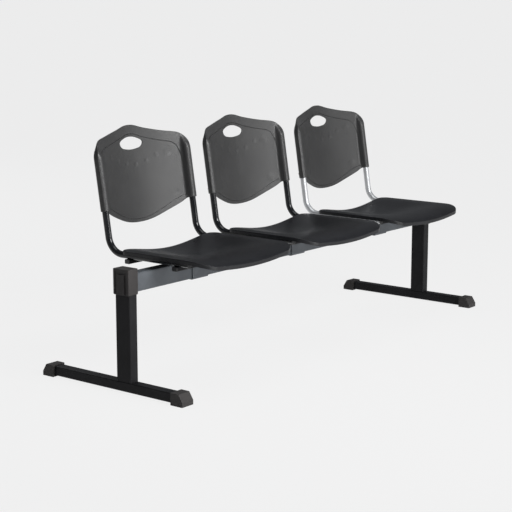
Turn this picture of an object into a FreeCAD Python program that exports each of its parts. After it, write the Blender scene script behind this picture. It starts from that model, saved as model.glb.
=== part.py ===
import math
import os

import FreeCAD
import Part

Vector = FreeCAD.Vector

# Three-place beam seating. X runs along the beam with 0 at its middle, -Y is the
# sitter's front, +Z is up and Z = 0 is the floor. All sizes are in millimetres.

# Overall layout
SEAT_PITCH = 540.0
LEG_SPACING = 1740.0
POST_Y = -54.0
SEAT_NAMES = ("left", "middle", "right")

# Cutting shapes run this far past the faces that they cut, and edges are found by
# their place within the tolerance.
CUT_OVER = 1.0
EDGE_TOLERANCE = 0.01

# Steel tubes of the stand
POST_WIDTH = 36.0
POST_DEPTH = 60.0
POST_WALL = 2.0
POST_CORNER = 4.0
FOOT_HEIGHT = 32.0
FOOT_FLOOR_GAP = 4.0
BEAM_HEIGHT = 60.0
BEAM_DEPTH = 40.0
BEAM_WALL = 2.0
BEAM_CORNER = 3.5
BEAM_TOP = 380.0
BEAM_BOTTOM = BEAM_TOP - BEAM_HEIGHT

# Foot and its plastic shoes
FOOT_FRONT = -305.0
FOOT_BACK = 305.0
SHOE_LENGTH = 48.0
SHOE_SIDE_WALL = 8.5
SHOE_ROOF = 3.5
SHOE_END_WALL = 3.0
SHOE_WIDTH = POST_WIDTH + 2 * SHOE_SIDE_WALL
SHOE_HEIGHT = FOOT_FLOOR_GAP + FOOT_HEIGHT + SHOE_ROOF
SHOE_TOP_LENGTH = 32.0
SHOE_TOE_HEIGHT = 14.5
SHOE_GRIP = SHOE_TOP_LENGTH - SHOE_END_WALL
SHOE_CLEARANCE = 0.2
SHOE_ROUND = 2.5
SHOE_SLOT_COUNT = 3
SHOE_SLOT_DEPTH = 1.2
SHOE_SLOT_WIDTH = 3.0

# Plastic cover over the joint between post and beam
COVER_WALL = 3.0
COVER_CLEARANCE = 0.2
COVER_ABOVE_BEAM = 18.0
COVER_BELOW_BEAM = 5.0
COVER_TOP = BEAM_TOP + COVER_ABOVE_BEAM
COVER_BOTTOM = BEAM_BOTTOM - COVER_BELOW_BEAM
COVER_ROUND = 4.0
COVER_TOP_ROUND = 2.4
COVER_CHAMFER = 2.8
COVER_HEAD_ROOM = 1.0
COVER_PANEL_INSET = 9.0
COVER_GROOVE_WIDTH = 8.0
COVER_GROOVE_DEPTH = 1.8
COVER_PANEL_RISE = 1.6

# Bolted joint between post and beam
END_PLATE = 5.0
JOINT_BOLT = 8.0
JOINT_BOLT_SPREAD = 30.0
JOINT_HEAD_DIAMETER = 16.0
JOINT_HEAD_HEIGHT = 3.2
JOINT_HEAD_ROUND = 1.4
JOINT_SOCKET_ACROSS = 5.0
JOINT_SOCKET_DEPTH = 1.9
JOINT_BOLT_END = 2.0
JOINT_NUT_HEIGHT = 6.5
JOINT_NUT_ACROSS = 13.0
JOINT_HOLE_CLEARANCE = 0.3

# Clamp under each seat
CLAMP_WIDTH = 78.0
CLAMP_PLATE = 4.0
CLAMP_PLATE_MARGIN = 2.0
CLAMP_PLATE_CORNER = 6.0
CLAMP_STRAP = 3.0
CLAMP_CLEARANCE = 0.3
CLAMP_FLANGE = 26.0
CLAMP_BEND = 2.0
CLAMP_BOLT = 8.0
CLAMP_BOLT_SPREAD = 48.0
CLAMP_BOLT_HEAD = 13.0
CLAMP_HEAD_HEIGHT = 5.3
CLAMP_NUT_HEIGHT = 6.5
CLAMP_BOLT_END = 2.7
WASHER_DIAMETER = 16.0
WASHER_THICKNESS = 1.6

# Seat carrier: two cross bars and two bent side tubes
BAR_FRONT_Y = -110.0
BAR_REAR_Y = 92.0
BAR_WIDTH = 20.0
BAR_HEIGHT = 15.0
BAR_WALL = 1.5
BAR_CORNER = 3.5
BAR_OVERHANG = 9.0
BAR_PLUG_HEAD = 3.0
BAR_PLUG_ROUND = 1.8
BAR_PLUG_DEPTH = 14.0
BAR_PLUG_RIM = 0.6
PLUG_CLEARANCE = 0.15
TUBE_DIAMETER = 22.0
TUBE_WALL = 1.8
TUBE_OFFSET_X = 215.0
TUBE_BEND_RADIUS = 60.0
TUBE_PLUG_HEAD = 2.5
TUBE_PLUG_ROUND = 1.5
TUBE_PLUG_DEPTH = 15.0
BAR_BOTTOM = BEAM_TOP + CLAMP_PLATE
BAR_TOP = BAR_BOTTOM + BAR_HEIGHT
TUBE_Z = BAR_TOP + TUBE_DIAMETER / 2
BAR_HALF_LENGTH = TUBE_OFFSET_X + BAR_OVERHANG

# Seat shell: its rim lies on the side tubes and its dish on the rear bar.
SEAT_THICKNESS = 4.5
SEAT_TUBE_GAP = 0.3
SEAT_BAR_GAP = 0.5
SEAT_OVERHANG_REAR = 6.0
SEAT_OVERHANG_FRONT = 9.0
SEAT_RIM_TOP = TUBE_Z + TUBE_DIAMETER / 2 + SEAT_THICKNESS + SEAT_TUBE_GAP
SEAT_HALF_WIDTH_REAR = TUBE_OFFSET_X + TUBE_DIAMETER / 2 + SEAT_OVERHANG_REAR
SEAT_HALF_WIDTH_FRONT = TUBE_OFFSET_X + TUBE_DIAMETER / 2 + SEAT_OVERHANG_FRONT
SEAT_REAR_Y = 119.0
SEAT_FRONT_Y = -251.0
SEAT_FRONT_BOW = 10.0
SEAT_REAR_CORNER = 26.0
SEAT_FRONT_CORNER = 62.0
SEAT_RIM_MARGIN = 6.0
SEAT_FLAT_RIM = SEAT_OVERHANG_FRONT + TUBE_DIAMETER + SEAT_RIM_MARGIN
SEAT_DISH_AT_BAR = TUBE_DIAMETER + SEAT_TUBE_GAP - SEAT_BAR_GAP
SEAT_DISH_EXTRA = 2.2
SEAT_DISH_MIDDLE = SEAT_DISH_AT_BAR + SEAT_DISH_EXTRA
SEAT_DISH_FRONT = 5.0
SEAT_DISH_POWER = 1.5
SEAT_LIP_START = -168.0
SEAT_DEEPEST_Y = (SEAT_REAR_Y + SEAT_LIP_START) / 2
TUBE_LIP_GAP = 6.0
TUBE_FRONT_Y = SEAT_LIP_START + TUBE_LIP_GAP
SEAT_LIP_DROP = 28.0
SEAT_LIP_RUN = 0.99
SEAT_SKIRT = 12.0
SEAT_SKIRT_WALL = 4.0
SEAT_EDGE_ROUND = 2.0
SEAT_SHEET_MARGIN = 8.0
SEAT_BOSS_DIAMETER = 18.0
SEAT_RIB_PLACES = (75.0, 140.0)
SEAT_RIB_WALL = 2.5
SEAT_RIB_DEPTH = 6.0
SEAT_RIB_BAR_GAP = 4.0
SEAT_SCREW_Y = -38.0
SEAT_SCREW_REAR_X = 106.0
SCREW_DIAMETER = 5.0
SCREW_HEAD = 9.5
SCREW_HEAD_HEIGHT = 2.6
SCREW_REACH = 9.0
SCREW_CLEARANCE = 0.2

# Back shell, given in its own leaning frame: Z follows the lean, Y points backwards
# and the tube centres pass through Y = 0.
BACK_LEAN = 9.0
BACK_BASE_Y = 195.0
BACK_RISE = 130.0
BACK_BASE_Z = TUBE_Z + BACK_RISE
BACK_DEPTH = 54.0
BACK_THICKNESS = 4.5
BACK_PEAK = 274.5
BACK_POCKET_BOTTOM = 3.0
BACK_LOWEST = -54.0
BACK_SHEET_MARGIN = 8.0
BACK_SHEET_ROWS = 30
TUBE_TOP = 176.0
POCKET_WALL = 3.3
POCKET_CLEARANCE = 0.2
POCKET_OUTER = TUBE_DIAMETER + 2 * POCKET_CLEARANCE + 2 * POCKET_WALL
POCKET_BORE_TOP = TUBE_TOP + 2.0
POCKET_TAPER_START = TUBE_TOP - 4.0
POCKET_END = TUBE_TOP + 52.0
POCKET_ROUND_SHARE = 0.96
POCKET_BLEND = 9.0
POCKET_FOOT_MARGIN = 2.0
BACK_EDGE_TRIM = 0.5
BACK_HALF_WIDTH = TUBE_OFFSET_X + POCKET_OUTER / 2 - BACK_EDGE_TRIM
HANDLE_HALF_WIDTH = 54.0
HANDLE_HEIGHT = 43.0
HANDLE_BELOW_PEAK = 40.0
HANDLE_TOP = BACK_PEAK - HANDLE_BELOW_PEAK
BACK_SCREW_Z = 20.0
BACK_SCREW_GRIP = 3.0
RECESS_DEPTH = 1.1
RECESS_TOP_INSET = 31.0
RECESS_LOW_INSET = 11.0
RECESS_POCKET_GAP = 3.0
DENT_DEPTH = 1.2
DENT_CORE_SHARE = 1.4

# Edge of the back, right half: share of the half width, then the drop below the peak
# for the top edge or the rise above the lowest point for the bottom edge.
BACK_TOP_EDGE = ((0.11, 2.5), (0.23, 10.5), (0.37, 18.5), (0.53, 27.0), (0.69, 34.5),
                 (0.80, 39.5), (0.887, 48.0), (0.943, 63.0), (0.983, 86.0), (1.0, 120.0))
BACK_LOW_EDGE = ((0.786, 46.0), (0.655, 33.5), (0.50, 21.0), (0.28, 6.0), (0.105, 0.7))

# Hand hole, right half from top to bottom: share of its half width and of its height.
HANDLE_EDGE = ((0.36, 0.953), (0.74, 0.79), (1.0, 0.535), (0.88, 0.233), (0.5, 0.058))

# Shallow dents: place across the back, height in the leaning frame, and radius.
DENTS = ((-117, 168, 11), (-76, 158, 11), (-32, 146, 11), (14, 140, 11), (62, 147, 11),
         (106, 165, 11), (150, 170, 18), (158, 28, 17), (-110, 22, 11))

# Grid columns over a pocket, in pocket radii from its middle.
POCKET_COLUMNS = (-3.0, -2.0, -1.5, -1.2, -0.9, -0.6, -0.3, 0.0, 0.3, 0.6, 0.85, 1.0, 1.2, 1.5)
PANEL_COLUMNS = 6

os.makedirs("parts", exist_ok=True)


def save(shape, node):
    shape.exportStep("parts/" + node + ".step")


def box(x0, x1, y0, y1, z0, z1):
    """Block between two values on each axis, which may come in either order."""
    low = Vector(min(x0, x1), min(y0, y1), min(z0, z1))
    return Part.makeBox(abs(x1 - x0), abs(y1 - y0), abs(z1 - z0), low)


def straight_edges(solid, axis):
    """Edges of a solid that run along one axis, 0 = X, 1 = Y, 2 = Z."""
    found = []
    for edge in solid.Edges:
        if len(edge.Vertexes) != 2:
            continue
        step = edge.Vertexes[1].Point - edge.Vertexes[0].Point
        if step.Length - abs(step[axis]) < EDGE_TOLERANCE:
            found.append(edge)
    return found


def rounded_bar(x0, x1, y0, y1, z0, z1, axis, radius):
    solid = box(x0, x1, y0, y1, z0, z1)
    return solid.makeFillet(radius, straight_edges(solid, axis))


def rectangular_tube(x0, x1, y0, y1, z0, z1, axis, wall, corner):
    """Open-ended tube with round corners; its bore runs along the given axis."""
    inset = [wall, wall, wall]
    inset[axis] = 0.0
    outer = rounded_bar(x0, x1, y0, y1, z0, z1, axis, corner)
    inner = rounded_bar(x0 + inset[0], x1 - inset[0], y0 + inset[1], y1 - inset[1],
                        z0 + inset[2], z1 - inset[2], axis, corner - wall)
    return outer.cut(inner)


def rod(x, y, z, dx, dy, dz, diameter):
    axis = Vector(dx, dy, dz)
    return Part.makeCylinder(diameter / 2, axis.Length, Vector(x, y, z), axis)


def hexagon(x, y, z, dx, dy, dz, across):
    """Hexagonal prism across flats, starting at a point and running along a vector."""
    radius = across / math.sqrt(3)
    corners = []
    for index in range(7):
        angle = math.radians(60 * index)
        corners.append(Vector(radius * math.cos(angle), radius * math.sin(angle), 0))
    axis = Vector(dx, dy, dz)
    prism = Part.Face(Part.makePolygon(corners)).extrude(Vector(0, 0, axis.Length))
    turn = FreeCAD.Rotation(Vector(0, 0, 1), axis)
    prism.Placement = FreeCAD.Placement(Vector(x, y, z), turn)
    return prism


def smooth_edge(points):
    curve = Part.BSplineCurve()
    curve.interpolate(points)
    return curve.toShape()


# Beam: one rectangular steel tube between the two posts, with a flat plate welded
# into each end for the joint bolts.
BEAM_HALF = LEG_SPACING / 2 - POST_WIDTH / 2 - END_PLATE
beam_front = POST_Y - BEAM_DEPTH / 2
beam_back = POST_Y + BEAM_DEPTH / 2
beam = rectangular_tube(-BEAM_HALF, BEAM_HALF, beam_front, beam_back, BEAM_BOTTOM, BEAM_TOP,
                        0, BEAM_WALL, BEAM_CORNER)
save(beam, "beam_tube")

bolt_heights = (BEAM_TOP - BEAM_HEIGHT / 2 - JOINT_BOLT_SPREAD / 2,
                BEAM_TOP - BEAM_HEIGHT / 2 + JOINT_BOLT_SPREAD / 2)

for side, leg in ((-1, "left"), (1, "right")):
    # Post: upright rectangular tube standing on the foot tube, drilled through for
    # the two joint bolts.
    post_x = side * LEG_SPACING / 2
    foot_top = FOOT_FLOOR_GAP + FOOT_HEIGHT
    post_top = COVER_TOP - COVER_WALL
    post = rectangular_tube(post_x - POST_WIDTH / 2, post_x + POST_WIDTH / 2,
                            POST_Y - POST_DEPTH / 2, POST_Y + POST_DEPTH / 2,
                            foot_top, post_top, 2, POST_WALL, POST_CORNER)
    for height in bolt_heights:
        post = post.cut(rod(post_x - POST_WIDTH, POST_Y, height, 2 * POST_WIDTH, 0, 0,
                            JOINT_BOLT + 2 * JOINT_HOLE_CLEARANCE))
    save(post, "post_" + leg)

    # End plate: steel plate welded across the beam's end, with the joint nuts
    # welded on its inner side.
    inner = post_x - side * POST_WIDTH / 2
    plate_far = inner - side * END_PLATE
    plate = rounded_bar(inner, plate_far, beam_front, beam_back, BEAM_BOTTOM, BEAM_TOP, 0,
                        BEAM_CORNER)
    for height in bolt_heights:
        plate = plate.cut(rod(plate_far - side * CUT_OVER, POST_Y, height,
                              side * (END_PLATE + 2 * CUT_OVER), 0, 0,
                              JOINT_BOLT + 2 * JOINT_HOLE_CLEARANCE))
    save(plate, "beam_end_plate_" + leg)

    # Joint bolts: low round heads on the outer face of the post, nuts inside the beam.
    fasteners = []
    outer = post_x + side * POST_WIDTH / 2
    for height in bolt_heights:
        head = rod(outer, POST_Y, height, side * JOINT_HEAD_HEIGHT, 0, 0, JOINT_HEAD_DIAMETER)
        rim = [edge for edge in head.Edges
               if edge.Closed and abs(edge.CenterOfMass.x - outer) > 0.5 * JOINT_HEAD_HEIGHT]
        head = head.makeFillet(JOINT_HEAD_ROUND, rim)
        socket = hexagon(outer + side * JOINT_HEAD_HEIGHT, POST_Y, height,
                         -side * JOINT_SOCKET_DEPTH, 0, 0, JOINT_SOCKET_ACROSS)
        shank_length = POST_WIDTH + END_PLATE + JOINT_NUT_HEIGHT + JOINT_BOLT_END
        shank = rod(outer, POST_Y, height, -side * shank_length, 0, 0, JOINT_BOLT)
        fasteners.append(head.cut(socket).fuse(shank))
        nut = hexagon(plate_far, POST_Y, height, -side * JOINT_NUT_HEIGHT, 0, 0, JOINT_NUT_ACROSS)
        bore = rod(plate_far + side * CUT_OVER, POST_Y, height,
                   -side * (JOINT_NUT_HEIGHT + 2 * CUT_OVER), 0, 0,
                   JOINT_BOLT + 2 * SCREW_CLEARANCE)
        fasteners.append(nut.cut(bore))
    save(Part.makeCompound(fasteners), "joint_bolts_" + leg)

    # Top cover: plastic hood dropped over the joint. The beam enters through a notch
    # on the inner side, and the outer end carries a raised panel inside a groove.
    cover_x = COVER_CLEARANCE + COVER_WALL
    x_near = post_x - side * (POST_WIDTH / 2 + cover_x)
    x_far = post_x + side * (POST_WIDTH / 2 + JOINT_HEAD_HEIGHT + COVER_CLEARANCE + COVER_WALL)
    half_depth = POST_DEPTH / 2 + cover_x
    hood = rounded_bar(x_near, x_far, POST_Y - half_depth, POST_Y + half_depth,
                       COVER_BOTTOM, COVER_TOP, 2, COVER_ROUND)
    top_edges = [edge for edge in hood.Edges if edge.CenterOfMass.z > COVER_TOP - EDGE_TOLERANCE]
    hood = hood.makeFillet(COVER_TOP_ROUND, top_edges)
    bottom_edges = [edge for edge in hood.Edges if edge.CenterOfMass.z < COVER_BOTTOM + EDGE_TOLERANCE]
    hood = hood.makeChamfer(COVER_CHAMFER, bottom_edges)
    roof = COVER_TOP - COVER_WALL
    cavity_half = POST_DEPTH / 2 + COVER_CLEARANCE
    cavity_near = post_x - side * (POST_WIDTH / 2 + COVER_CLEARANCE)
    cavity_far = post_x + side * (POST_WIDTH / 2 + COVER_CLEARANCE)
    below = COVER_BOTTOM - CUT_OVER
    hood = hood.cut(box(cavity_near, cavity_far, POST_Y - cavity_half, POST_Y + cavity_half,
                        below, roof))
    head_room = post_x + side * (POST_WIDTH / 2 + JOINT_HEAD_HEIGHT + COVER_CLEARANCE)
    head_half = JOINT_HEAD_DIAMETER / 2 + COVER_HEAD_ROOM
    hood = hood.cut(box(cavity_far, head_room, POST_Y - head_half, POST_Y + head_half,
                        below, bolt_heights[1] + head_half))
    notch_half = BEAM_DEPTH / 2 + COVER_CLEARANCE
    hood = hood.cut(box(x_near - side * CUT_OVER, cavity_near, POST_Y - notch_half,
                        POST_Y + notch_half, below, BEAM_TOP + COVER_CLEARANCE))
    groove_outer = half_depth - COVER_PANEL_INSET
    groove_inner = groove_outer - COVER_GROOVE_WIDTH
    groove_top = COVER_TOP - COVER_PANEL_INSET
    groove_floor = x_far - side * COVER_GROOVE_DEPTH
    outside = x_far + side * CUT_OVER
    ring = box(groove_floor, outside, POST_Y - groove_outer, POST_Y + groove_outer,
               below, groove_top)
    panel = box(groove_floor, outside, POST_Y - groove_inner, POST_Y + groove_inner,
                below, groove_top - COVER_GROOVE_WIDTH)
    hood = hood.cut(ring.cut(panel))
    proud = x_far + side * COVER_PANEL_RISE
    panel_low = COVER_BOTTOM + COVER_CHAMFER
    hood = hood.fuse(box(groove_floor, proud, POST_Y - groove_inner, POST_Y + groove_inner,
                         panel_low, groove_top - COVER_GROOVE_WIDTH))
    save(hood, "top_cover_" + leg)

    # Foot: horizontal rectangular tube held just above the floor, longer behind the post.
    tube_front = FOOT_FRONT + SHOE_LENGTH - SHOE_GRIP
    tube_back = FOOT_BACK - SHOE_LENGTH + SHOE_GRIP
    foot = rectangular_tube(post_x - POST_WIDTH / 2, post_x + POST_WIDTH / 2, tube_front,
                            tube_back, FOOT_FLOOR_GAP, foot_top, 1, POST_WALL, POST_CORNER)
    save(foot, "foot_tube_" + leg)

    # Shoes: plastic caps pushed over the foot's ends; they slope down to a short toe
    # and are the only pieces that touch the floor.
    for end, tip, place in ((-1, FOOT_FRONT, "front"), (1, FOOT_BACK, "back")):
        heel = tip - end * SHOE_LENGTH
        shoulder = heel + end * SHOE_TOP_LENGTH
        profile = Part.makePolygon([
            Vector(0, heel, 0), Vector(0, tip, 0), Vector(0, tip, SHOE_TOE_HEIGHT),
            Vector(0, shoulder, SHOE_HEIGHT), Vector(0, heel, SHOE_HEIGHT), Vector(0, heel, 0)])
        shoe = Part.Face(profile).extrude(Vector(SHOE_WIDTH, 0, 0))
        shoe.translate(Vector(post_x - SHOE_WIDTH / 2, 0, 0))
        rounded = [edge for edge in shoe.Edges
                   if abs(edge.CenterOfMass.y - heel) > SHOE_CLEARANCE
                   and edge.CenterOfMass.z > SHOE_CLEARANCE]
        shoe = shoe.makeFillet(SHOE_ROUND, rounded)
        mouth = rounded_bar(post_x - POST_WIDTH / 2 - SHOE_CLEARANCE,
                            post_x + POST_WIDTH / 2 + SHOE_CLEARANCE,
                            heel - end * CUT_OVER, heel + end * SHOE_GRIP,
                            FOOT_FLOOR_GAP - SHOE_CLEARANCE, foot_top + SHOE_CLEARANCE, 1,
                            POST_CORNER)
        shoe = shoe.cut(mouth)
        for index in range(SHOE_SLOT_COUNT):
            slot_y = heel + end * SHOE_LENGTH * (index + 1) / (SHOE_SLOT_COUNT + 1)
            shoe = shoe.cut(box(post_x - SHOE_WIDTH / 2 + SHOE_ROUND * 2,
                                post_x + SHOE_WIDTH / 2 - SHOE_ROUND * 2,
                                slot_y - SHOE_SLOT_WIDTH / 2, slot_y + SHOE_SLOT_WIDTH / 2,
                                -CUT_OVER, SHOE_SLOT_DEPTH))
        save(shoe, "foot_cap_" + leg + "_" + place)


# Seat shell surface: a dish with a flat rim over the side tubes, and a front edge
# that rolls over into a lip.
def seat_height(x, y):
    side_share = min(1.0, abs(x) / (SEAT_HALF_WIDTH_FRONT - SEAT_FLAT_RIM))
    if y > SEAT_DEEPEST_Y:
        share = (y - SEAT_DEEPEST_Y) / (BAR_REAR_Y - SEAT_DEEPEST_Y)
        depth = SEAT_DISH_MIDDLE - SEAT_DISH_EXTRA * share ** 2
    else:
        share = min(1.0, (SEAT_DEEPEST_Y - y) / (SEAT_DEEPEST_Y - SEAT_LIP_START))
        smooth = share * share * (3 - 2 * share)
        depth = SEAT_DISH_MIDDLE + (SEAT_DISH_FRONT - SEAT_DISH_MIDDLE) * smooth
    dish = depth * (1 - side_share ** 2) ** SEAT_DISH_POWER
    lip = 0.0
    if y < SEAT_LIP_START:
        run = min(SEAT_LIP_RUN, (SEAT_LIP_START - y) / (SEAT_LIP_START - SEAT_FRONT_Y))
        lip = SEAT_LIP_DROP * (1 - math.sqrt(1 - run * run))
    return SEAT_RIM_TOP - dish - lip


def seat_surface(lift):
    """Smooth sheet a little larger than the seat, from a grid of heights."""
    reach = SEAT_HALF_WIDTH_FRONT + SEAT_SHEET_MARGIN
    sheet_front = SEAT_FRONT_Y - SEAT_SHEET_MARGIN / 2
    sheet_rear = SEAT_REAR_Y + SEAT_SHEET_MARGIN
    lip_end = SEAT_LIP_START + 2 * SEAT_SHEET_MARGIN
    lip_rows = 14
    rear_rows = 12
    columns = 32
    places = [sheet_front + (lip_end - sheet_front) * index / lip_rows
              for index in range(lip_rows)]
    places += [lip_end + (sheet_rear - lip_end) * index / rear_rows
               for index in range(rear_rows + 1)]
    rows = []
    for y in places:
        row = []
        for index in range(columns + 1):
            x = -reach + 2 * reach * index / columns
            row.append(Vector(x, y, seat_height(x, y) + lift))
        rows.append(row)
    sheet = Part.BSplineSurface()
    sheet.interpolate(rows)
    return sheet.toShape()


def seat_block(inset, low, high):
    """Upright block with the seat's plan outline, moved inwards by an inset."""
    rear = SEAT_REAR_Y - inset
    side_front = SEAT_FRONT_Y + SEAT_FRONT_BOW + inset
    rear_left = Vector(-SEAT_HALF_WIDTH_REAR + inset, rear, low)
    rear_right = Vector(SEAT_HALF_WIDTH_REAR - inset, rear, low)
    front_right = Vector(SEAT_HALF_WIDTH_FRONT - inset, side_front, low)
    front_left = Vector(-SEAT_HALF_WIDTH_FRONT + inset, side_front, low)
    front_middle = Vector(0, SEAT_FRONT_Y + inset, low)
    edges = [Part.makeLine(rear_left, rear_right),
             Part.makeLine(rear_right, front_right),
             Part.Arc(front_right, front_middle, front_left).toShape(),
             Part.makeLine(front_left, rear_left)]
    block = Part.Face(Part.Wire(edges)).extrude(Vector(0, 0, high - low))
    upright = straight_edges(block, 2)
    rear_edges = [edge for edge in upright if edge.CenterOfMass.y > side_front + CUT_OVER]
    block = block.makeFillet(SEAT_REAR_CORNER - inset, rear_edges)
    front_edges = [edge for edge in straight_edges(block, 2)
                   if abs(edge.CenterOfMass.y - side_front) < EDGE_TOLERANCE]
    return block.makeFillet(SEAT_FRONT_CORNER - inset, front_edges)


block_low = SEAT_RIM_TOP - 2 * (SEAT_DISH_MIDDLE + SEAT_LIP_DROP)
block_high = SEAT_RIM_TOP + SEAT_SKIRT
full_block = seat_block(0.0, block_low, block_high)
inner_block = seat_block(SEAT_SKIRT_WALL, block_low, block_high)
top_sheet = seat_surface(0.0)
skirt_block = top_sheet.extrude(Vector(0, 0, -SEAT_SKIRT)).common(full_block)
top_edges = []
for edge in skirt_block.Edges:
    middle = edge.valueAt((edge.FirstParameter + edge.LastParameter) / 2)
    if abs(middle.z - seat_height(middle.x, middle.y)) < SEAT_SKIRT / 4:
        top_edges.append(edge)
skirt_block = skirt_block.makeFillet(SEAT_EDGE_ROUND, top_edges)
under_sheet = seat_surface(-SEAT_THICKNESS)
hollow = under_sheet.extrude(Vector(0, 0, -2 * SEAT_SKIRT)).common(inner_block)
seat_shell = skirt_block.cut(hollow)

# Straight ribs stiffen the dish between the two cross bars.
rib_layer = under_sheet.extrude(Vector(0, 0, -SEAT_RIB_DEPTH))
rib_front = BAR_FRONT_Y + BAR_WIDTH / 2 + SEAT_RIB_BAR_GAP
rib_rear = BAR_REAR_Y - BAR_WIDTH / 2 - SEAT_RIB_BAR_GAP
for side in (-1, 1):
    for place in SEAT_RIB_PLACES:
        slab = box(side * place - SEAT_RIB_WALL / 2, side * place + SEAT_RIB_WALL / 2,
                   rib_front, rib_rear, block_low, block_high)
        seat_shell = seat_shell.fuse(rib_layer.common(slab))

# The rear edge is notched where the side tubes pass under it. The notch stays clear of
# the shell's flat underside above the tube.
for side in (-1, 1):
    seat_shell = seat_shell.cut(rod(side * TUBE_OFFSET_X, SEAT_REAR_Y - SEAT_REAR_CORNER, TUBE_Z,
                                    0, SEAT_REAR_CORNER + CUT_OVER, 0,
                                    TUBE_DIAMETER + SEAT_TUBE_GAP))

# Four round bosses under the seat take its screws: two over the side tubes and two
# over the rear bar.
screw_places = (
    (-TUBE_OFFSET_X, SEAT_SCREW_Y, TUBE_Z + TUBE_DIAMETER / 2),
    (TUBE_OFFSET_X, SEAT_SCREW_Y, TUBE_Z + TUBE_DIAMETER / 2),
    (-SEAT_SCREW_REAR_X, BAR_REAR_Y, BAR_TOP),
    (SEAT_SCREW_REAR_X, BAR_REAR_Y, BAR_TOP),
)
for x, y, floor in screw_places:
    top = seat_height(x, y)
    boss = rod(x, y, floor, 0, 0, top - SEAT_THICKNESS / 2 - floor, SEAT_BOSS_DIAMETER)
    seat_shell = seat_shell.fuse(boss)
for x, y, floor in screw_places:
    top = seat_height(x, y)
    seat_shell = seat_shell.cut(rod(x, y, floor - CUT_OVER, 0, 0, top - floor + 2 * CUT_OVER,
                                    SCREW_DIAMETER + 2 * SCREW_CLEARANCE))
    seat_shell = seat_shell.cut(rod(x, y, top - SCREW_HEAD_HEIGHT, 0, 0,
                                    SCREW_HEAD_HEIGHT + CUT_OVER,
                                    SCREW_HEAD + 2 * SCREW_CLEARANCE))

seat_screws = []
for x, y, floor in screw_places:
    top = seat_height(x, y)
    head = Part.makeCone(SCREW_DIAMETER / 2, SCREW_HEAD / 2, SCREW_HEAD_HEIGHT,
                         Vector(x, y, top - SCREW_HEAD_HEIGHT), Vector(0, 0, 1))
    shank = rod(x, y, floor - SCREW_REACH, 0, 0, top - SCREW_HEAD_HEIGHT - floor + SCREW_REACH,
                SCREW_DIAMETER)
    seat_screws.append(head.fuse(shank))


# Back shell outline in its own frame: a smooth top edge from side to side, straight
# sides down to the pockets, and a smooth bottom edge that hangs lowest in the middle.
def back_outline():
    top_half = [(share * BACK_HALF_WIDTH, BACK_PEAK - drop) for share, drop in BACK_TOP_EDGE]
    low_half = [(share * BACK_HALF_WIDTH, BACK_LOWEST + rise) for share, rise in BACK_LOW_EDGE]
    pocket_inner = TUBE_OFFSET_X - POCKET_OUTER / 2 - POCKET_FOOT_MARGIN
    low_half.insert(0, (pocket_inner, BACK_POCKET_BOTTOM))
    top_points = [Vector(-x, 0, z) for x, z in reversed(top_half)]
    top_points.append(Vector(0, 0, BACK_PEAK))
    top_points += [Vector(x, 0, z) for x, z in top_half]
    low_points = [Vector(x, 0, z) for x, z in low_half]
    low_points.append(Vector(0, 0, BACK_LOWEST))
    low_points += [Vector(-x, 0, z) for x, z in reversed(low_half)]
    corner_right = Vector(BACK_HALF_WIDTH, 0, BACK_POCKET_BOTTOM)
    corner_left = Vector(-BACK_HALF_WIDTH, 0, BACK_POCKET_BOTTOM)
    edges = [smooth_edge(top_points),
             Part.makeLine(top_points[-1], corner_right),
             Part.makeLine(corner_right, low_points[0]),
             smooth_edge(low_points),
             Part.makeLine(low_points[-1], corner_left),
             Part.makeLine(corner_left, top_points[0])]
    return Part.Face(Part.Wire(edges))


def recess_outline():
    """Outline of the lowered panel between the pockets, below the top border."""
    half = TUBE_OFFSET_X - POCKET_OUTER / 2 - RECESS_POCKET_GAP
    top = BACK_PEAK - RECESS_TOP_INSET
    low = BACK_LOWEST + RECESS_LOW_INSET
    top_half = [(share * half, top - drop) for share, drop in BACK_TOP_EDGE]
    low_half = [(share * half, low + rise) for share, rise in BACK_LOW_EDGE]
    top_points = [Vector(-x, 0, z) for x, z in reversed(top_half)]
    top_points.append(Vector(0, 0, top))
    top_points += [Vector(x, 0, z) for x, z in top_half]
    low_points = [Vector(half, 0, BACK_POCKET_BOTTOM + RECESS_LOW_INSET)]
    low_points += [Vector(x, 0, z) for x, z in low_half]
    low_points.append(Vector(0, 0, low))
    low_points += [Vector(-x, 0, z) for x, z in reversed(low_half)]
    low_points.append(Vector(-half, 0, BACK_POCKET_BOTTOM + RECESS_LOW_INSET))
    edges = [smooth_edge(top_points),
             Part.makeLine(top_points[-1], low_points[0]),
             smooth_edge(low_points),
             Part.makeLine(low_points[-1], top_points[0])]
    return Part.Face(Part.Wire(edges))


def panel_depth(x):
    """How far the panel's front face lies behind the tube centres."""
    return BACK_DEPTH * (1 - (x / TUBE_OFFSET_X) ** 2)


def smooth_lower(a, b, reach):
    """The lower of two values, blended where they cross."""
    share = max(0.0, min(1.0, 0.5 + 0.5 * (b - a) / reach))
    return b + (a - b) * share - reach * share * (1 - share)


def pocket_swell(x):
    """Half thickness of the round pocket at a place across the back."""
    radius = POCKET_OUTER / 2
    away = abs(abs(x) - TUBE_OFFSET_X)
    limit = POCKET_ROUND_SHARE * radius
    if away < limit:
        return math.sqrt(radius * radius - away * away)
    slope = limit / math.sqrt(radius * radius - limit * limit)
    fall = math.sqrt(radius * radius - limit * limit) - slope * (away - limit)
    if abs(x) > TUBE_OFFSET_X:
        return max(BACK_THICKNESS / 3, fall)
    return fall


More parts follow.
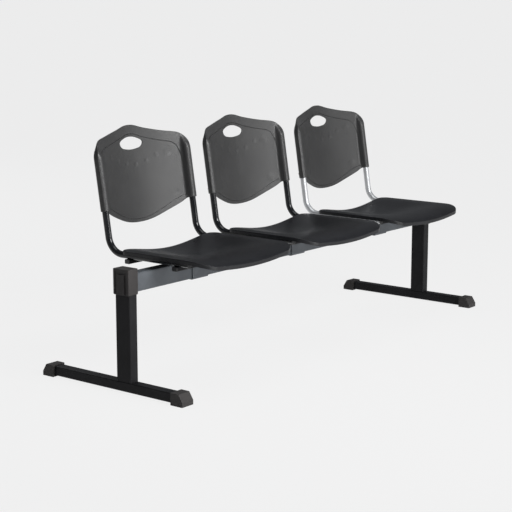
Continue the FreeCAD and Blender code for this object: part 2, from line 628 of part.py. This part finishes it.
def back_sheet(rear):
    """Front or rear face of the back shell as one smooth sheet."""
    radius = POCKET_OUTER / 2
    half = [TUBE_OFFSET_X + share * radius for share in POCKET_COLUMNS]
    half = [half[0] * index / PANEL_COLUMNS for index in range(1, PANEL_COLUMNS)] + half
    columns = [-x for x in reversed(half)] + [0.0] + half
    low = BACK_LOWEST - BACK_SHEET_MARGIN
    high = BACK_PEAK + BACK_SHEET_MARGIN
    rows = []
    for index in range(BACK_SHEET_ROWS + 1):
        z = low + (high - low) * index / BACK_SHEET_ROWS
        fade = (z - POCKET_TAPER_START) / (POCKET_END - POCKET_TAPER_START)
        fade = max(0.0, min(1.0, fade))
        fade = fade * fade * (3 - 2 * fade)
        row = []
        for x in columns:
            plain = panel_depth(x)
            if rear:
                plain = plain + BACK_THICKNESS
                full = -smooth_lower(-plain, -pocket_swell(x), POCKET_BLEND)
            else:
                full = smooth_lower(plain, -pocket_swell(x), POCKET_BLEND)
            row.append(Vector(x, full + (plain - full) * fade, z))
        rows.append(row)
    sheet = Part.BSplineSurface()
    sheet.interpolate(rows)
    return sheet.toShape()


clear_front = 2 * POCKET_OUTER
clear_rear = clear_front + BACK_DEPTH
behind_front = back_sheet(False).extrude(Vector(0, clear_rear, 0))
behind_rear = back_sheet(True).extrude(Vector(0, clear_rear, 0))
outline_prism = back_outline().extrude(Vector(0, clear_front + clear_rear, 0))
outline_prism.translate(Vector(0, -clear_front, 0))
back_shell = behind_front.common(outline_prism).cut(behind_rear)

# Pocket bores for the tube ends, and the hand hole near the top.
for side in (-1, 1):
    back_shell = back_shell.cut(rod(side * TUBE_OFFSET_X, 0, BACK_LOWEST, 0, 0,
                                    POCKET_BORE_TOP - BACK_LOWEST,
                                    TUBE_DIAMETER + 2 * POCKET_CLEARANCE))

handle_half = [(share * HANDLE_HALF_WIDTH, HANDLE_TOP - HANDLE_HEIGHT * (1 - rise))
               for share, rise in HANDLE_EDGE]
handle_points = [Vector(0, 0, HANDLE_TOP)]
handle_points += [Vector(x, 0, z) for x, z in handle_half]
handle_points.append(Vector(0, 0, HANDLE_TOP - HANDLE_HEIGHT))
handle_points += [Vector(-x, 0, z) for x, z in reversed(handle_half)]
handle_curve = Part.BSplineCurve()
handle_curve.interpolate(Points=handle_points, PeriodicFlag=True)
handle = Part.Face(Part.Wire([handle_curve.toShape()]))
handle = handle.extrude(Vector(0, clear_front + clear_rear, 0))
handle.translate(Vector(0, -clear_front, 0))
back_shell = back_shell.cut(handle)

# The panel lies a little below a border that runs along the top and down the pockets.
recess_sheet = back_sheet(False)
recess_sheet.translate(Vector(0, RECESS_DEPTH, 0))
behind_recess = recess_sheet.extrude(Vector(0, 2 * clear_rear, 0))
recess_prism = recess_outline().extrude(Vector(0, clear_front + clear_rear, 0))
recess_prism.translate(Vector(0, -clear_front, 0))
back_shell = back_shell.cut(recess_prism.cut(behind_recess))

# Soft round dents in the panel, one row below the hand hole and one low at each side.
# Each is a shallow cap cut from a ball; a short round core keeps it clear of the pockets.
for x, z, radius in DENTS:
    ball_radius = (radius ** 2 + DENT_DEPTH ** 2) / (2 * DENT_DEPTH)
    slope = math.atan2(-2 * BACK_DEPTH * x, TUBE_OFFSET_X ** 2)
    into_panel = Vector(-math.sin(slope), math.cos(slope), 0)
    bottom = Vector(x, panel_depth(x) + RECESS_DEPTH, z) + into_panel * DENT_DEPTH
    ball = Part.makeSphere(ball_radius, bottom - into_panel * ball_radius)
    core = Part.makeCylinder(DENT_CORE_SHARE * radius, radius, bottom + into_panel,
                             -into_panel)
    back_shell = back_shell.cut(ball.common(core))

# One small screw through the rear of each pocket holds the shell on its tubes.
for side in (-1, 1):
    back_shell = back_shell.cut(rod(side * TUBE_OFFSET_X, 0, BACK_SCREW_Z, 0, POCKET_OUTER, 0,
                                    SCREW_DIAMETER + 2 * SCREW_CLEARANCE))
back_screws = []
for side in (-1, 1):
    x = side * TUBE_OFFSET_X
    shank_start = TUBE_DIAMETER / 2 - TUBE_WALL - BACK_SCREW_GRIP
    shank = rod(x, shank_start, BACK_SCREW_Z, 0, POCKET_OUTER / 2 - shank_start, 0,
                SCREW_DIAMETER)
    head = rod(x, POCKET_OUTER / 2, BACK_SCREW_Z, 0, SCREW_HEAD_HEIGHT, 0, SCREW_HEAD)
    rim = [edge for edge in head.Edges
           if edge.Closed and edge.CenterOfMass.y > POCKET_OUTER / 2 + 0.5 * SCREW_HEAD_HEIGHT]
    head = head.makeFillet(0.5 * SCREW_HEAD_HEIGHT, rim)
    back_screws.append(head.fuse(shank))

# The leaning frame of the back, set behind the post centre line.
lean = FreeCAD.Rotation(Vector(1, 0, 0), -BACK_LEAN)
back_place = FreeCAD.Placement(Vector(0, POST_Y + BACK_BASE_Y, BACK_BASE_Z), lean)


def bent_tube_path(x):
    """Centre line of a side tube: along under the seat, round the bend and up."""
    up = back_place.Rotation.multVec(Vector(0, 0, 1))
    base = back_place.Base
    reach = (base.z - TUBE_Z) / up.z
    corner_y = base.y - up.y * reach
    bend_angle = math.pi / 2 - math.radians(BACK_LEAN)
    tangent = TUBE_BEND_RADIUS * math.tan(bend_angle / 2)
    start = Vector(x, POST_Y + TUBE_FRONT_Y, TUBE_Z)
    bend_in = Vector(x, corner_y - tangent, TUBE_Z)
    bend_out = Vector(x, corner_y + up.y * tangent, TUBE_Z + up.z * tangent)
    centre = Vector(x, bend_in.y, TUBE_Z + TUBE_BEND_RADIUS)
    half = bend_angle / 2
    bend_mid = Vector(x, centre.y + TUBE_BEND_RADIUS * math.sin(half),
                      centre.z - TUBE_BEND_RADIUS * math.cos(half))
    top = base + up * TUBE_TOP
    top.x = x
    return Part.Wire([Part.makeLine(start, bend_in),
                      Part.Arc(bend_in, bend_mid, bend_out).toShape(),
                      Part.makeLine(bend_out, top)])


def swept_rod(path, diameter):
    start = path.Edges[0].Vertexes[0].Point
    ring = Part.makeCircle(diameter / 2, start, Vector(0, 1, 0))
    return path.makePipeShell([Part.Wire([ring])], True, False)


def bar_plug(x, side, y):
    """Plastic plug with a rounded head in the end of a cross bar."""
    half_width = BAR_WIDTH / 2 + BAR_PLUG_RIM
    x_out = x + side * BAR_PLUG_HEAD
    head = rounded_bar(x, x_out, y - half_width, y + half_width, BAR_BOTTOM, BAR_TOP, 0,
                       BAR_CORNER)
    outer_edges = [edge for edge in head.Edges
                   if abs(edge.CenterOfMass.x - x_out) < EDGE_TOLERANCE]
    head = head.makeFillet(BAR_PLUG_ROUND, outer_edges)
    inset = BAR_WALL + PLUG_CLEARANCE
    x_in = x - side * BAR_PLUG_DEPTH
    stem = box(x, x_in, y - BAR_WIDTH / 2 + inset, y + BAR_WIDTH / 2 - inset,
               BAR_BOTTOM + inset, BAR_TOP - inset)
    stem = stem.makeFillet(BAR_CORNER - BAR_WALL, straight_edges(stem, 0))
    return head.fuse(stem)


for number, name in enumerate(SEAT_NAMES):
    seat_x = (number - 1) * SEAT_PITCH
    to_seat = Vector(seat_x, POST_Y, 0)

    # Clamp plate: flat steel plate resting across the beam; the bars are welded on it.
    plate_front = POST_Y + BAR_FRONT_Y - BAR_WIDTH / 2 - CLAMP_PLATE_MARGIN
    plate_back = POST_Y + BAR_REAR_Y + BAR_WIDTH / 2 + CLAMP_PLATE_MARGIN
    half_clamp = CLAMP_WIDTH / 2
    plate = rounded_bar(seat_x - half_clamp, seat_x + half_clamp, plate_front, plate_back,
                        BEAM_TOP, BEAM_TOP + CLAMP_PLATE, 2, CLAMP_PLATE_CORNER)
    bolt_y = BEAM_DEPTH / 2 + CLAMP_CLEARANCE + CLAMP_STRAP + CLAMP_FLANGE / 2
    bolt_places = []
    for step_x in (-CLAMP_BOLT_SPREAD / 2, CLAMP_BOLT_SPREAD / 2):
        for step_y in (-bolt_y, bolt_y):
            bolt_places.append((seat_x + step_x, POST_Y + step_y))
    hole = CLAMP_BOLT + 2 * JOINT_HOLE_CLEARANCE
    for x, y in bolt_places:
        plate = plate.cut(rod(x, y, BEAM_TOP - CUT_OVER, 0, 0, CLAMP_PLATE + 2 * CUT_OVER, hole))
    save(plate, "clamp_plate_" + name)

    # Clamp strap: steel strip bent round the beam from below, with a flange on each
    # side bolted up to the plate.
    inner_half = BEAM_DEPTH / 2 + CLAMP_CLEARANCE
    outer_half = inner_half + CLAMP_STRAP
    strap_low = BEAM_BOTTOM - CLAMP_CLEARANCE - CLAMP_STRAP
    flange_top = BEAM_TOP
    flange_low = flange_top - CLAMP_STRAP
    flange_half = outer_half + CLAMP_FLANGE
    strap = box(seat_x - half_clamp, seat_x + half_clamp, POST_Y - outer_half,
                POST_Y + outer_half, strap_low, flange_top)
    strap = strap.fuse(box(seat_x - half_clamp, seat_x + half_clamp, POST_Y - flange_half,
                           POST_Y + flange_half, flange_low, flange_top)).removeSplitter()
    outer_bends = [edge for edge in straight_edges(strap, 0)
                   if edge.CenterOfMass.z < strap_low + EDGE_TOLERANCE]
    strap = strap.makeFillet(CLAMP_BEND + CLAMP_STRAP, outer_bends)
    throat = box(seat_x - half_clamp - CUT_OVER, seat_x + half_clamp + CUT_OVER,
                 POST_Y - inner_half, POST_Y + inner_half, strap_low + CLAMP_STRAP,
                 flange_top + CUT_OVER)
    inner_bends = [edge for edge in straight_edges(throat, 0)
                   if edge.CenterOfMass.z < strap_low + CLAMP_STRAP + EDGE_TOLERANCE]
    strap = strap.cut(throat.makeFillet(CLAMP_BEND, inner_bends))
    under_bends = [edge for edge in straight_edges(strap, 0)
                   if abs(edge.CenterOfMass.z - flange_low) < EDGE_TOLERANCE
                   and abs(abs(edge.CenterOfMass.y - POST_Y) - outer_half) < EDGE_TOLERANCE]
    strap = strap.makeFillet(CLAMP_BEND, under_bends)
    for x, y in bolt_places:
        strap = strap.cut(rod(x, y, flange_low - CUT_OVER, 0, 0, CLAMP_STRAP + 2 * CUT_OVER,
                              hole))
    save(strap, "clamp_strap_" + name)

    # Clamp bolts: four hexagon bolts with washers and nuts, heads on top.
    fasteners = []
    for x, y in bolt_places:
        plate_top = BEAM_TOP + CLAMP_PLATE
        washer = rod(x, y, plate_top, 0, 0, WASHER_THICKNESS, WASHER_DIAMETER)
        head = hexagon(x, y, plate_top + WASHER_THICKNESS, 0, 0, CLAMP_HEAD_HEIGHT,
                       CLAMP_BOLT_HEAD)
        grip = CLAMP_PLATE + CLAMP_STRAP + WASHER_THICKNESS
        shank = rod(x, y, plate_top + WASHER_THICKNESS, 0, 0,
                    -grip - WASHER_THICKNESS - CLAMP_NUT_HEIGHT - CLAMP_BOLT_END, CLAMP_BOLT)
        fasteners.append(washer.fuse([head, shank]))
        lower = rod(x, y, flange_low, 0, 0, -WASHER_THICKNESS, WASHER_DIAMETER)
        nut = hexagon(x, y, flange_low - WASHER_THICKNESS, 0, 0, -CLAMP_NUT_HEIGHT,
                      CLAMP_BOLT_HEAD)
        bore = rod(x, y, flange_low + CUT_OVER, 0, 0,
                   -CLAMP_NUT_HEIGHT - WASHER_THICKNESS - 2 * CUT_OVER,
                   CLAMP_BOLT + 2 * SCREW_CLEARANCE)
        fasteners.append(lower.fuse(nut).cut(bore))
    save(Part.makeCompound(fasteners), "clamp_bolts_" + name)

    # Cross bars: flat rectangular tubes from one side tube to the other.
    plugs = []
    for bar_y, place in ((BAR_FRONT_Y, "front"), (BAR_REAR_Y, "rear")):
        bar = rectangular_tube(seat_x - BAR_HALF_LENGTH, seat_x + BAR_HALF_LENGTH,
                               POST_Y + bar_y - BAR_WIDTH / 2, POST_Y + bar_y + BAR_WIDTH / 2,
                               BAR_BOTTOM, BAR_TOP, 0, BAR_WALL, BAR_CORNER)
        if place == "rear":
            for side in (-1, 1):
                bar = bar.cut(rod(seat_x + side * SEAT_SCREW_REAR_X, POST_Y + bar_y,
                                  BAR_TOP - SCREW_REACH, 0, 0, 2 * SCREW_REACH,
                                  SCREW_DIAMETER + 2 * SCREW_CLEARANCE))
        save(bar, "cross_bar_" + place + "_" + name)
        for side in (-1, 1):
            plugs.append(bar_plug(seat_x + side * BAR_HALF_LENGTH, side, POST_Y + bar_y))

    # Side tubes: round tube that carries the seat's edge, bends up behind it and
    # slips into the back shell's pocket. A plug closes the front end.
    for side, place in ((-1, "left"), (1, "right")):
        x = seat_x + side * TUBE_OFFSET_X
        path = bent_tube_path(x)
        tube = swept_rod(path, TUBE_DIAMETER).cut(swept_rod(path, TUBE_DIAMETER - 2 * TUBE_WALL))
        tube = tube.cut(rod(x, POST_Y + SEAT_SCREW_Y, TUBE_Z, 0, 0, TUBE_DIAMETER,
                            SCREW_DIAMETER + 2 * SCREW_CLEARANCE))
        screw_hole = rod(side * TUBE_OFFSET_X, 0, BACK_SCREW_Z, 0, TUBE_DIAMETER, 0,
                         SCREW_DIAMETER + 2 * SCREW_CLEARANCE)
        screw_hole.Placement = back_place
        screw_hole.translate(Vector(seat_x, 0, 0))
        tube = tube.cut(screw_hole)
        save(tube, "side_tube_" + place + "_" + name)
        tube_end = POST_Y + TUBE_FRONT_Y
        cap = rod(x, tube_end, TUBE_Z, 0, -TUBE_PLUG_HEAD, 0, TUBE_DIAMETER)
        rim = [edge for edge in cap.Edges
               if edge.Closed and edge.CenterOfMass.y < tube_end - 0.5 * TUBE_PLUG_HEAD]
        cap = cap.makeFillet(TUBE_PLUG_ROUND, rim)
        stem = rod(x, tube_end, TUBE_Z, 0, TUBE_PLUG_DEPTH, 0,
                   TUBE_DIAMETER - 2 * TUBE_WALL - 2 * PLUG_CLEARANCE)
        plugs.append(cap.fuse(stem))
    save(Part.makeCompound(plugs), "end_plugs_" + name)

    # Shells and their screws.
    shell = seat_shell.copy()
    shell.translate(to_seat)
    save(shell, "seat_shell_" + name)
    screws = Part.makeCompound(seat_screws)
    screws.translate(to_seat)
    save(screws, "seat_screws_" + name)
    shell = back_shell.copy()
    shell.Placement = back_place
    shell.translate(Vector(seat_x, 0, 0))
    save(shell, "back_shell_" + name)
    screws = Part.makeCompound(back_screws)
    screws.Placement = back_place
    screws.translate(Vector(seat_x, 0, 0))
    save(screws, "back_screws_" + name)
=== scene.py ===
import math

import bpy
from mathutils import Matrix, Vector

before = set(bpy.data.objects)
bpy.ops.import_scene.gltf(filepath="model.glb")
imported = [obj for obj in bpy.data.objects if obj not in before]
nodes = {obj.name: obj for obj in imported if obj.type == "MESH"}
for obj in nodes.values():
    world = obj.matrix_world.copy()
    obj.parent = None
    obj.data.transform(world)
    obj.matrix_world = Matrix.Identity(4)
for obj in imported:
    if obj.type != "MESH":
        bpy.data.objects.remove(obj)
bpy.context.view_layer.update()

# Beam: a rectangular steel tube with a plate welded in each end, powder coated in black
# with a fine orange-peel texture and a slightly cloudy gloss. The plates have the plain
# black of the legs; the tube's coat is painted lighter and a little bluish, as painted
# light on its face.
LEGS = ("left", "right")


def painted_finish(name, colour, cloudy, roughness, peel, specular, coat=0.0):
    """Paint with cloudy tone and gloss, and a fine orange-peel relief."""
    paint = bpy.data.materials.new(name)
    paint.use_nodes = True
    tree = paint.node_tree
    shader = tree.nodes["Principled BSDF"]
    place = tree.nodes.new("ShaderNodeTexCoord")

    cloud = tree.nodes.new("ShaderNodeTexNoise")
    cloud.inputs["Scale"].default_value = 14.0
    cloud.inputs["Detail"].default_value = 6.0
    tree.links.new(place.outputs["Object"], cloud.inputs["Vector"])

    tone = tree.nodes.new("ShaderNodeValToRGB")
    tone.color_ramp.elements[0].position = 0.35
    tone.color_ramp.elements[0].color = (*colour, 1.0)
    tone.color_ramp.elements[1].position = 0.7
    tone.color_ramp.elements[1].color = (*cloudy, 1.0)
    tree.links.new(cloud.outputs["Fac"], tone.inputs["Fac"])
    tree.links.new(tone.outputs["Color"], shader.inputs["Base Color"])

    gloss = tree.nodes.new("ShaderNodeMapRange")
    gloss.inputs["From Min"].default_value = 0.3
    gloss.inputs["From Max"].default_value = 0.7
    gloss.inputs["To Min"].default_value = roughness - 0.05
    gloss.inputs["To Max"].default_value = roughness + 0.06
    tree.links.new(cloud.outputs["Fac"], gloss.inputs["Value"])
    tree.links.new(gloss.outputs["Result"], shader.inputs["Roughness"])

    grain = tree.nodes.new("ShaderNodeTexNoise")
    grain.inputs["Scale"].default_value = 900.0
    grain.inputs["Detail"].default_value = 3.0
    tree.links.new(place.outputs["Object"], grain.inputs["Vector"])
    relief = tree.nodes.new("ShaderNodeBump")
    relief.inputs["Strength"].default_value = peel
    relief.inputs["Distance"].default_value = 0.0004
    tree.links.new(grain.outputs["Fac"], relief.inputs["Height"])
    tree.links.new(relief.outputs["Normal"], shader.inputs["Normal"])

    shader.inputs["Specular IOR Level"].default_value = specular
    shader.inputs["Coat Weight"].default_value = coat
    shader.inputs["Coat Roughness"].default_value = 0.12
    return paint


def coat_node(node_name, finish, same_point=1e-6):
    """Gives a CAD node its finish, and joins its loose triangles into one skin."""
    node = nodes[node_name]
    node.data.materials.clear()
    node.data.materials.append(finish)
    node.data.polygons.foreach_set("use_smooth", [True] * len(node.data.polygons))
    weld = node.modifiers.new("weld", "WELD")
    weld.merge_threshold = same_point
    return node


def shade_by_area(node):
    """Lets the larger faces steer the shading, so that flat faces look flat."""
    shading = node.modifiers.new("shading", "WEIGHTED_NORMAL")
    shading.weight = 50


def finish_node(node_name, finish, corner_angle=32.0):
    """Gives a CAD node its finish, shaded smoothly up to its sharp corners."""
    node = coat_node(node_name, finish)
    corners = node.modifiers.new("corners", "EDGE_SPLIT")
    corners.split_angle = math.radians(corner_angle)
    shade_by_area(node)


# The beam's black coat, painted lighter and a little bluish as painted light on its lit
# face.
black_coat_with_painted_light = painted_finish("black_coat_with_painted_light", colour=(0.060, 0.066, 0.074),
                                 cloudy=(0.085, 0.094, 0.104), roughness=0.42, peel=0.25,
                                 specular=0.3)
black_powder_coat = painted_finish("black_powder_coat", colour=(0.008, 0.008, 0.0088),
                                   cloudy=(0.013, 0.013, 0.014), roughness=0.46, peel=0.25,
                                   specular=0.1)
finish_node("beam_tube", black_coat_with_painted_light)
for leg in LEGS:
    finish_node("beam_end_plate_" + leg, black_powder_coat)

# Posts and foot tubes: two rectangular steel tubes welded into an upside-down T on each
# side, powder coated in plain black.
for leg in LEGS:
    finish_node("post_" + leg, black_powder_coat)
    finish_node("foot_tube_" + leg, black_powder_coat)


# Foot caps: moulded plastic shoes pressed over the foot's ends, slightly brownish black
# and duller than the steel.
def moulded_plastic(name, colour, worn, roughness, grain_size, grain_depth, specular):
    """Moulded plastic with a fine leathery grain and faint tone changes."""
    plastic = bpy.data.materials.new(name)
    plastic.use_nodes = True
    tree = plastic.node_tree
    shader = tree.nodes["Principled BSDF"]
    place = tree.nodes.new("ShaderNodeTexCoord")

    flow = tree.nodes.new("ShaderNodeTexNoise")
    flow.inputs["Scale"].default_value = 9.0
    flow.inputs["Detail"].default_value = 5.0
    tree.links.new(place.outputs["Object"], flow.inputs["Vector"])
    tone = tree.nodes.new("ShaderNodeValToRGB")
    tone.color_ramp.elements[0].position = 0.3
    tone.color_ramp.elements[0].color = (*colour, 1.0)
    tone.color_ramp.elements[1].position = 0.75
    tone.color_ramp.elements[1].color = (*worn, 1.0)
    tree.links.new(flow.outputs["Fac"], tone.inputs["Fac"])
    tree.links.new(tone.outputs["Color"], shader.inputs["Base Color"])

    grain = tree.nodes.new("ShaderNodeTexVoronoi")
    grain.inputs["Scale"].default_value = 1.0 / grain_size
    tree.links.new(place.outputs["Object"], grain.inputs["Vector"])
    relief = tree.nodes.new("ShaderNodeBump")
    relief.inputs["Strength"].default_value = grain_depth
    relief.inputs["Distance"].default_value = 0.0003
    tree.links.new(grain.outputs["Distance"], relief.inputs["Height"])
    tree.links.new(relief.outputs["Normal"], shader.inputs["Normal"])

    shader.inputs["Roughness"].default_value = roughness
    shader.inputs["Specular IOR Level"].default_value = specular
    return plastic


cap_plastic = moulded_plastic("cap_plastic", colour=(0.026, 0.024, 0.0235),
                              worn=(0.036, 0.0335, 0.033), roughness=0.55,
                              grain_size=0.0012, grain_depth=0.25, specular=0.18)
for leg in LEGS:
    finish_node("foot_cap_" + leg + "_front", cap_plastic)
    finish_node("foot_cap_" + leg + "_back", cap_plastic)

# Top covers: plastic hoods dropped over the joint of post and beam, moulded in the same
# plastic as the foot caps.
for leg in LEGS:
    finish_node("top_cover_" + leg, cap_plastic)

# Bolts: zinc-plated steel with a faint brushed pattern. Two hold each post to the beam's
# end plate, and four clamp each seat's carrier to the beam.
SEATS = ("left", "middle", "right")


def plated_steel(name, colour, roughness):
    """Zinc plating with fine brushing and a slightly uneven gloss."""
    plated = bpy.data.materials.new(name)
    plated.use_nodes = True
    tree = plated.node_tree
    shader = tree.nodes["Principled BSDF"]
    place = tree.nodes.new("ShaderNodeTexCoord")
    stretch = tree.nodes.new("ShaderNodeMapping")
    stretch.inputs["Scale"].default_value = (60.0, 60.0, 900.0)
    tree.links.new(place.outputs["Object"], stretch.inputs["Vector"])
    brushing = tree.nodes.new("ShaderNodeTexNoise")
    brushing.inputs["Scale"].default_value = 4.0
    brushing.inputs["Detail"].default_value = 4.0
    tree.links.new(stretch.outputs["Vector"], brushing.inputs["Vector"])
    gloss = tree.nodes.new("ShaderNodeMapRange")
    gloss.inputs["To Min"].default_value = roughness - 0.08
    gloss.inputs["To Max"].default_value = roughness + 0.1
    tree.links.new(brushing.outputs["Fac"], gloss.inputs["Value"])
    tree.links.new(gloss.outputs["Result"], shader.inputs["Roughness"])
    shader.inputs["Base Color"].default_value = (*colour, 1.0)
    shader.inputs["Metallic"].default_value = 1.0
    return plated


zinc_plating = plated_steel("zinc_plating", colour=(0.45, 0.46, 0.47), roughness=0.38)
for leg in LEGS:
    finish_node("joint_bolts_" + leg, zinc_plating)
for seat in SEATS:
    finish_node("clamp_bolts_" + seat, zinc_plating)

# Clamps and cross bars: a flat steel plate over the beam, a strap bent round it from below
# and two flat tubes welded on the plate. The strap has the beam's coat, painted lighter as
# painted light on the beam's face, and the rest is plain black.
for seat in SEATS:
    finish_node("clamp_plate_" + seat, black_powder_coat)
    # The strap takes the beam's coat, with its painted light.
    finish_node("clamp_strap_" + seat, black_coat_with_painted_light)
    finish_node("cross_bar_front_" + seat, black_powder_coat)
    finish_node("cross_bar_rear_" + seat, black_powder_coat)

# Side tubes: round steel tube bent up behind the seat and pushed into the back's pockets.
# Two seats have glossy black tubes, and the right seat has silver ones.
black_gloss_paint = painted_finish("black_gloss_paint", colour=(0.005, 0.0055, 0.0065),
                                   cloudy=(0.008, 0.0085, 0.010), roughness=0.17, peel=0.06,
                                   specular=0.3)
silver_paint = painted_finish("silver_paint", colour=(0.42, 0.43, 0.44),
                              cloudy=(0.48, 0.49, 0.50), roughness=0.34, peel=0.08,
                              specular=0.5, coat=0.2)
silver_paint.node_tree.nodes["Principled BSDF"].inputs["Metallic"].default_value = 0.55
for seat in SEATS:
    tube_paint = silver_paint if seat == "right" else black_gloss_paint
    finish_node("side_tube_left_" + seat, tube_paint)
    finish_node("side_tube_right_" + seat, tube_paint)

# End plugs: small black plastic plugs pushed into the open ends of the bars and tubes,
# with a finer grain than the shoes.
plug_plastic = moulded_plastic("plug_plastic", colour=(0.010, 0.010, 0.011),
                               worn=(0.014, 0.014, 0.015), roughness=0.42,
                               grain_size=0.001, grain_depth=0.15, specular=0.5)
for seat in SEATS:
    finish_node("end_plugs_" + seat, plug_plastic)

# Seat shells: polypropylene dishes with a rounded front lip, moulded in near-black with
# a fine grain. Four black countersunk screws hold each to its bosses.
seat_plastic = moulded_plastic("seat_plastic", colour=(0.0045, 0.0047, 0.0058),
                               worn=(0.0085, 0.0088, 0.0105), roughness=0.37,
                               grain_size=0.0009, grain_depth=0.25, specular=0.26)
screw_black = painted_finish("screw_black", colour=(0.012, 0.012, 0.012),
                             cloudy=(0.02, 0.02, 0.02), roughness=0.35, peel=0.05,
                             specular=0.5)
for seat in SEATS:
    finish_node("seat_shell_" + seat, seat_plastic, corner_angle=28.0)
    finish_node("seat_screws_" + seat, screw_black)

# Back shells: moulded as the seats are, in a lighter dark grey, and held to the tubes by
# two black pan-head screws. The CAD leaves their rim sharp, and a small bevel rounds it.
back_plastic = moulded_plastic("back_plastic", colour=(0.022, 0.022, 0.0222),
                               worn=(0.029, 0.029, 0.029), roughness=0.37,
                               grain_size=0.0009, grain_depth=0.25, specular=0.34)
for seat in SEATS:
    shell = coat_node("back_shell_" + seat, back_plastic, same_point=0.0003)
    flatten = shell.modifiers.new("flatten", "DECIMATE")
    flatten.decimate_type = "DISSOLVE"
    flatten.angle_limit = math.radians(0.6)
    rounding = shell.modifiers.new("rounding", "BEVEL")
    rounding.width = 0.0016
    rounding.segments = 3
    rounding.limit_method = "ANGLE"
    rounding.angle_limit = math.radians(60.0)
    rounding.use_clamp_overlap = False
    shade_by_area(shell)
    finish_node("back_screws_" + seat, screw_black)

# Floor: plain and pale, it runs to the horizon and is not part of the object. It glows
# near white for the camera and in reflections, and keeps a share of the bench's shadow.
GLOW_SHARE = 0.95
bpy.ops.object.select_all(action="DESELECT")
bpy.ops.mesh.primitive_plane_add(size=3000.0, location=(0.0, 0.0, 0.0))
floor = bpy.context.object
floor.name = "studio_floor"
pale = bpy.data.materials.new("studio_pale")
pale.use_nodes = True
tree = pale.node_tree
diffuse = tree.nodes["Principled BSDF"]
diffuse.inputs["Base Color"].default_value = (0.8, 0.8, 0.8, 1.0)
diffuse.inputs["Roughness"].default_value = 0.9
diffuse.inputs["Specular IOR Level"].default_value = 0.0
glow = tree.nodes.new("ShaderNodeEmission")
glow.inputs["Color"].default_value = (0.875, 0.875, 0.876, 1.0)
glow.inputs["Strength"].default_value = 1.0
path = tree.nodes.new("ShaderNodeLightPath")
seen = tree.nodes.new("ShaderNodeMath")
seen.operation = "MAXIMUM"
seen_through = tree.nodes.new("ShaderNodeMath")
seen_through.operation = "MAXIMUM"
share = tree.nodes.new("ShaderNodeMath")
share.operation = "MULTIPLY"
share.inputs[1].default_value = GLOW_SHARE
blend = tree.nodes.new("ShaderNodeMixShader")
tree.links.new(path.outputs["Is Camera Ray"], seen.inputs[0])
tree.links.new(path.outputs["Is Glossy Ray"], seen.inputs[1])
tree.links.new(seen.outputs["Value"], seen_through.inputs[0])
tree.links.new(path.outputs["Is Transmission Ray"], seen_through.inputs[1])
tree.links.new(seen_through.outputs["Value"], share.inputs[0])
tree.links.new(share.outputs["Value"], blend.inputs["Fac"])
tree.links.new(diffuse.outputs["BSDF"], blend.inputs[1])
tree.links.new(glow.outputs["Emission"], blend.inputs[2])
tree.links.new(blend.outputs["Shader"], tree.nodes["Material Output"].inputs["Surface"])
floor.data.materials.append(pale)

# Studio light: dim, even air and five softboxes at a plain level. The key stands at the
# front left, a low one lights the beam's face, and one behind lifts the rear.
air_world = bpy.data.worlds.new("studio_air")
bpy.context.scene.world = air_world
air_world.use_nodes = True
air = air_world.node_tree.nodes["Background"]
air.inputs["Color"].default_value = (0.92, 0.95, 1.0, 1.0)
air.inputs["Strength"].default_value = 0.2


def softbox(name, place, target, width, height, power, spread=180.0):
    """Rectangular studio light aimed at a point."""
    lamp = bpy.data.lights.new(name, "AREA")
    lamp.shape = "RECTANGLE"
    lamp.size = width
    lamp.size_y = height
    lamp.energy = power
    lamp.spread = math.radians(spread)
    holder = bpy.data.objects.new(name, lamp)
    bpy.context.scene.collection.objects.link(holder)
    holder.location = place
    aim = Vector(target) - Vector(place)
    holder.rotation_euler = aim.to_track_quat("-Z", "Y").to_euler()


softbox("key_front_left", place=(-0.6, -3.2, 2.2), target=(-0.55, 0.0, 0.45),
        width=1.6, height=1.2, power=27.0, spread=76.0)
softbox("low_front", place=(0.2, -3.4, 0.5), target=(0.0, 0.0, 0.35),
        width=2.4, height=0.6, power=55.0)
softbox("front_right", place=(3.0, -4.5, 2.5), target=(0.0, 0.0, 0.45),
        width=3.0, height=2.5, power=60.0)
softbox("overhead", place=(-0.3, -0.3, 4.0), target=(-0.3, 0.0, 0.0),
        width=3.0, height=2.0, power=50.0)
softbox("rear", place=(0.5, 5.0, 2.6), target=(0.0, 0.0, 0.5),
        width=3.0, height=2.0, power=65.0)

# Camera: the photograph's view from the left front, a little above the seats, with a
# long lens.
EYE = (-3.9202, -2.9689, 1.2221)
YAW = math.radians(51.8)
PITCH = math.radians(10.6)
lens = bpy.data.cameras.new("photo_camera")
lens.sensor_width = 36.0
lens.lens = 97.0
camera = bpy.data.objects.new("photo_camera", lens)
bpy.context.scene.collection.objects.link(camera)
camera.location = EYE
look = Vector((math.sin(YAW) * math.cos(PITCH),
               math.cos(YAW) * math.cos(PITCH),
               -math.sin(PITCH)))
camera.rotation_euler = look.to_track_quat("-Z", "Y").to_euler()
bpy.context.scene.camera = camera
bpy.context.scene.view_settings.view_transform = "Standard"
